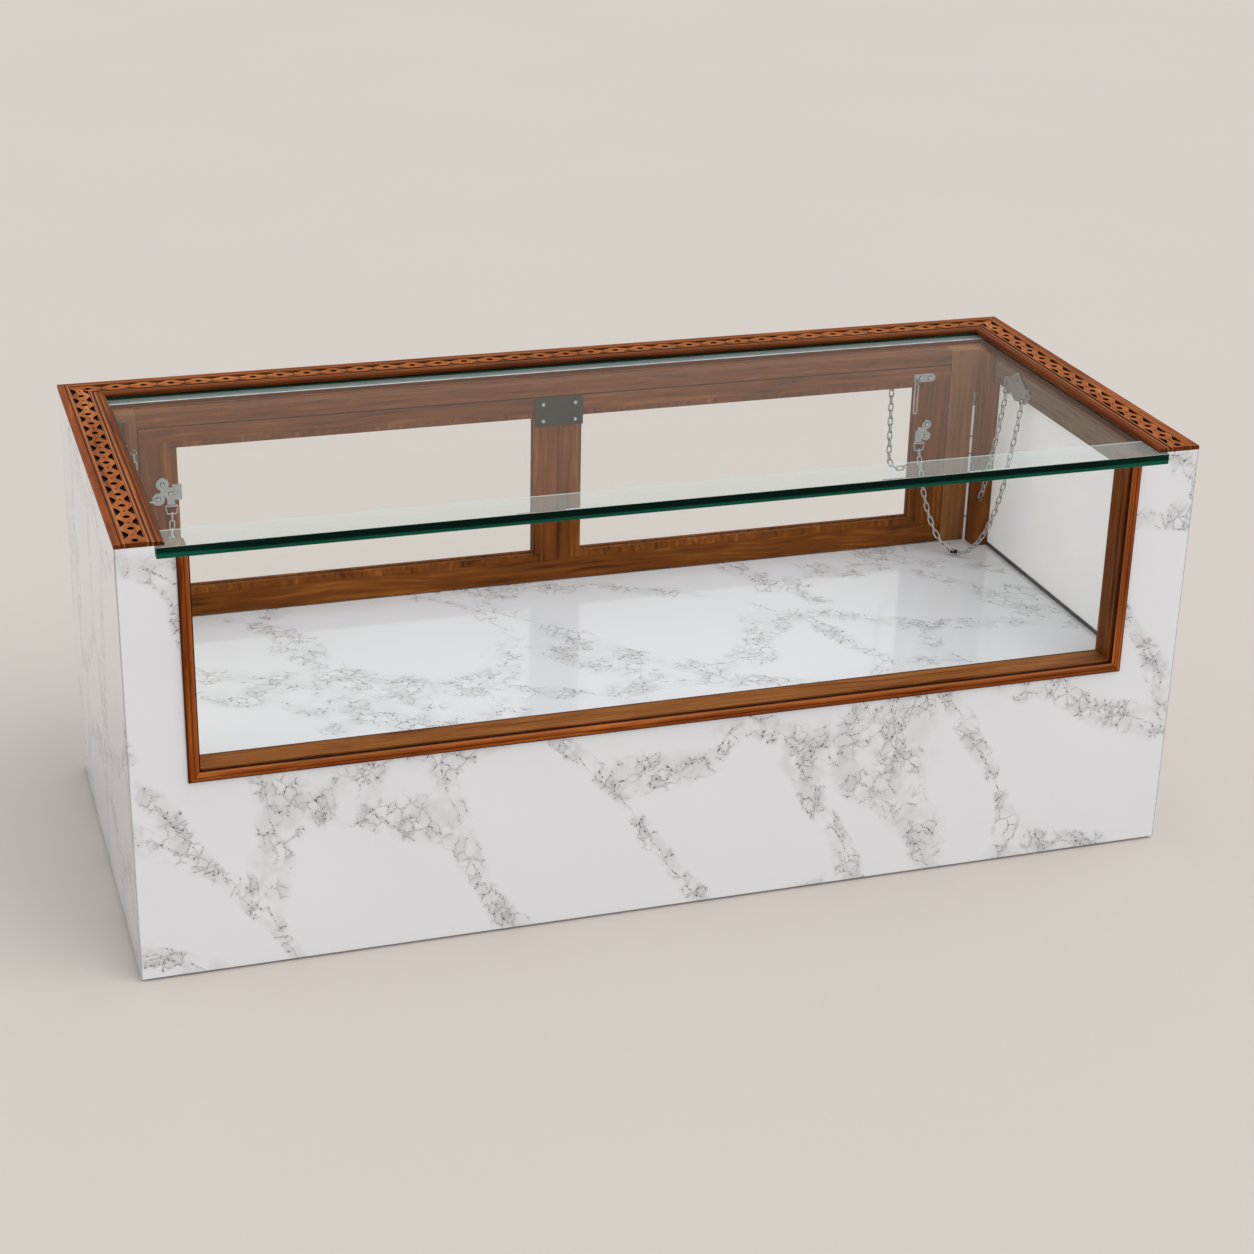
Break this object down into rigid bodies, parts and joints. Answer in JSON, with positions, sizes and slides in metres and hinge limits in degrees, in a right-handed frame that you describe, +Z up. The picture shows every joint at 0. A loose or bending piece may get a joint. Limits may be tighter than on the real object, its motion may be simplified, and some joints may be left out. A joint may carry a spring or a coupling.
{
  "type": "jewellery display counter",
  "caption": "Low marble-clad display case with a pierced wooden border round a glass top, a glazed front window and a glazed rear door that drops back on hinges.",
  "frame": {"origin": "centre of the footprint, on the floor; the footprint includes the glass's overhang at the front", "axes": "+X to the right seen from the front, +Y to the rear door, +Z up"},
  "size_m": [1.2, 0.532, 0.497],
  "materials": {
    "marble": "polished, fine grey veins",
    "walnut": "clear varnish, dark brown",
    "border_wood": "clear varnish, orange brown",
    "plywood": "bare",
    "glass": "clear, green at its edges",
    "tape": "light grey",
    "lining": "light grey laminate",
    "white_board": "white laminate",
    "channel": "satin",
    "steel": "nickel plated, slightly dull",
    "dark_steel": "dull grey",
    "brass": "satin",
    "glide": "black",
    "light": "white"
  },
  "bodies": {
    "case": {"glides": "glide", "base_board": "plywood", "left_board": "plywood", "right_board": "plywood", "front_board": "plywood", "rear_board": "plywood", "dividers": "plywood", "deck_board": "plywood", "deck_slab": "marble", "front_marble": "marble", "left_marble": "marble", "right_marble": "marble", "rear_marble_lower": "marble", "rear_marble_left": "marble", "rear_marble_right": "marble", "rear_marble_head": "marble", "window_sill": "walnut", "jamb_left": "walnut", "jamb_right": "walnut", "bead_left": "border_wood", "bead_bottom": "border_wood", "bead_right": "border_wood", "front_glass": "glass", "top_glass": "glass", "seat_tape": "tape", "side_rail_left": "walnut", "side_rail_right": "walnut", "side_linings": "lining", "lining_channels": "channel", "corner_post_left": "walnut", "corner_post_right": "walnut", "rear_post_left": "walnut", "rear_post_right": "walnut", "rear_header": "walnut", "rear_header_board": "white_board", "rear_packer": "plywood", "border_left": "border_wood", "border_rear": "border_wood", "border_right": "border_wood", "side_frets": "border_wood", "fret_rear": "border_wood", "light_stick": "light", "case_plates": "steel", "case_screws": "steel", "hinge_leaves_case": "brass", "hinge_pins": "steel", "stay_chain_left": "steel", "stay_chain_right": "steel", "spare_chain": "steel", "keeper_chain": "steel"},
    "door": {"door_rails": "walnut", "door_stiles": "walnut", "door_beads": "walnut", "door_panes": "glass", "mending_plate": "dark_steel", "door_plates": "steel", "door_screws": "steel", "hinge_leaves_door": "brass"},
    "hook_link": {"hook_link": "steel"},
    "lock_chain": {"lock_chain": "steel"}
  },
  "joints": [
    {"name": "door_open", "type": "hinge", "parent": "case", "child": "door", "pos_m": [0, 0.1952, 0.2312], "axis": [-1, 0, 0], "range_deg": [0, 90], "deforming": ["stay_chain_left", "stay_chain_right"]},
    {"name": "hook_link_swing", "type": "hinge", "parent": "door", "child": "hook_link", "pos_m": [0.449, 0.1656, 0.4435], "axis": [-1, 0, 0], "range_deg": [0, 100]},
    {"name": "lock_chain_swing", "type": "hinge", "parent": "door", "child": "lock_chain", "pos_m": [0.448, 0.1964, 0.4475], "axis": [1, 0, 0], "range_deg": [0, 90]}
  ],
  "couplings": [
    {"joint": "lock_chain_swing", "follows": "door_open", "ratio": 1}
  ]
}
